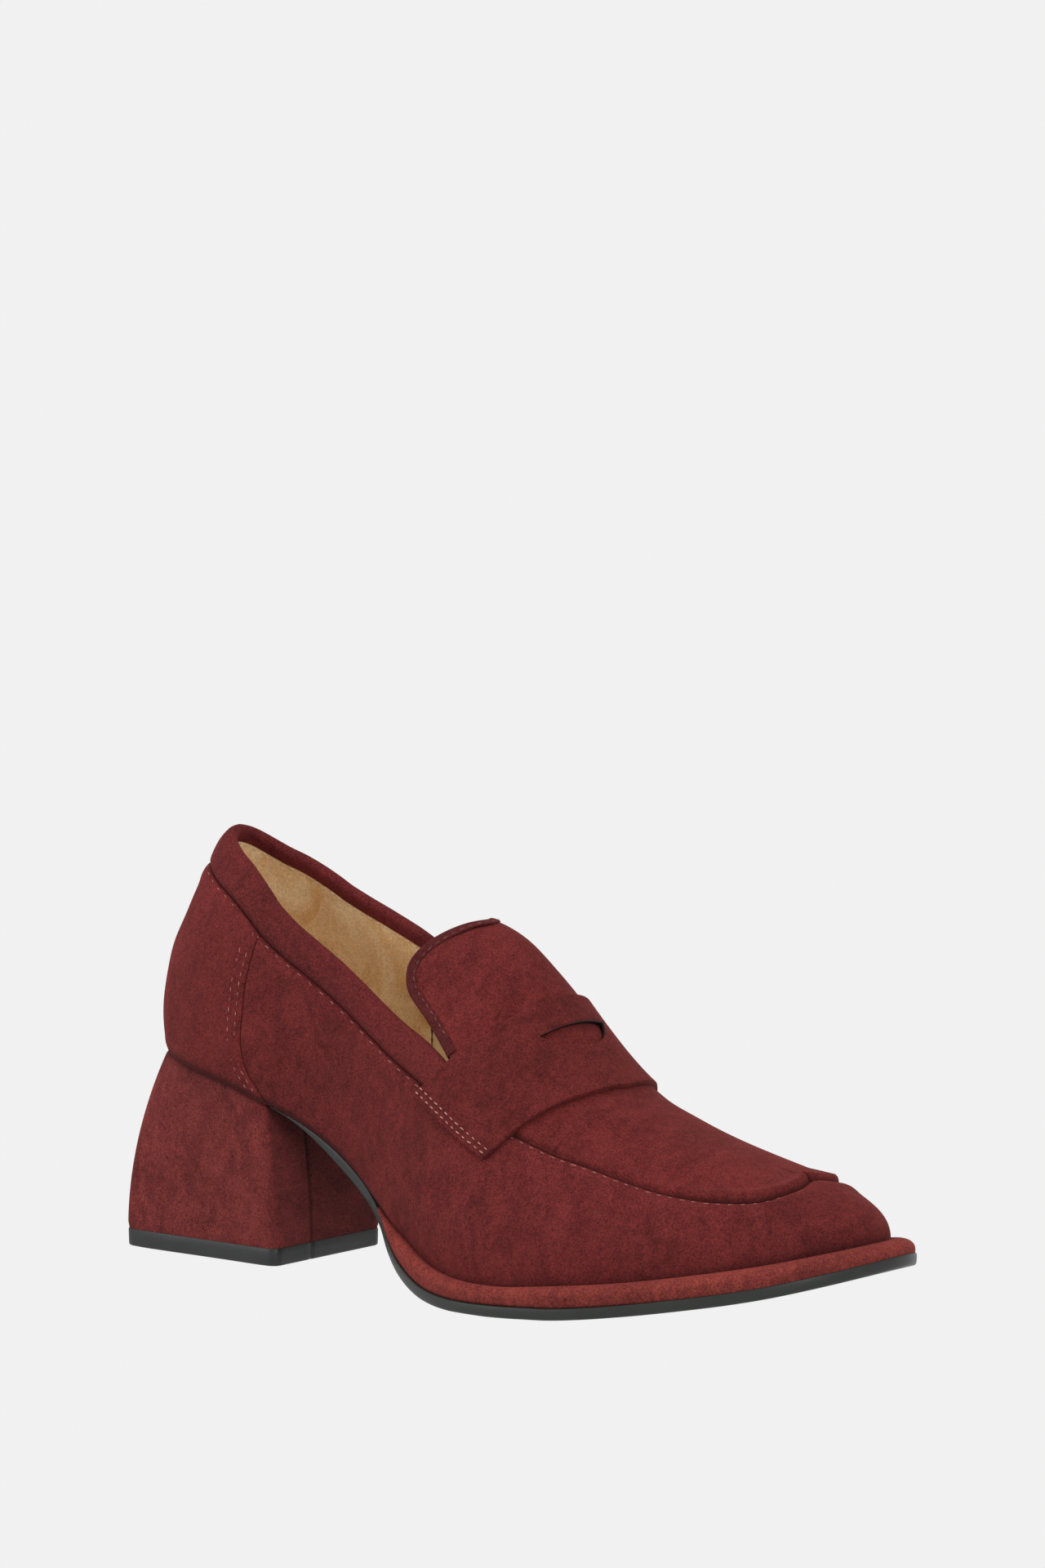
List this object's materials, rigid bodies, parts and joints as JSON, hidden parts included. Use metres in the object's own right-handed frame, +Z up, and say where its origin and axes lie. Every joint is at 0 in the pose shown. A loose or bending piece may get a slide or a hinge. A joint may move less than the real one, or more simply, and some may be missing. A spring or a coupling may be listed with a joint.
{
  "type": "penny loafer",
  "caption": "Penny loafer with a slotted saddle strap, apron toe, covered rand and covered block heel; right shoe, open foot space.",
  "frame": {"origin": "on the floor, under the middle of the shoe's bounding box", "axes": "+X towards the toe, +Z up, -Y towards the outer (lateral) side"},
  "size_m": [0.2525, 0.0965, 0.1216],
  "materials": {
    "suede": "napped calf suede, wine red",
    "strap_suede": "napped calf suede with dark painted edges, wine red",
    "binding_suede": "thin suede binding, darker wine red",
    "collar_suede": "thin folded suede, wine red",
    "rand_suede": "suede pulled tight over the rand, wine red",
    "heel_suede": "suede glued round the heel block, wine red",
    "lining_leather": "smooth pigskin lining, tan",
    "lining_suede": "suede heel grip lining, tan",
    "foam": "open-cell foam",
    "interlining": "woven and non-woven stiffener",
    "board": "pressed cellulose insole board",
    "filler": "cork filler sheet",
    "platform": "foamed platform wedge",
    "outsole_rubber": "dark green-grey rubber, matt, soft sheen on its edge",
    "heel_block": "moulded heel block",
    "top_rubber": "hard rubber, near black",
    "steel": "plain steel"
  },
  "bodies": {
    "root": {"vamp": "suede", "apron": "suede", "tongue_binding": "binding_suede", "plug_lining": "lining_leather", "saddle_strap": "strap_suede", "counter_cover": "suede", "collar_band": "collar_suede", "collar_foam": "foam", "counter_stiffener": "interlining", "toe_puff": "interlining", "outer_side_interlining": "interlining", "inner_side_interlining": "interlining", "heel_grip_lining": "lining_suede", "vamp_lining": "lining_leather", "insole_board": "board", "heel_screw": "steel", "heel_nails": "steel", "sock_foam": "foam", "sock_lining": "lining_leather", "steel_shank": "steel", "bottom_filler": "filler", "platform_core": "platform", "rand_wrap": "rand_suede", "outsole": "outsole_rubber", "heel_core": "heel_block", "heel_cover": "heel_suede", "top_piece": "top_rubber", "top_piece_dowels": "steel"}
  },
  "joints": []
}
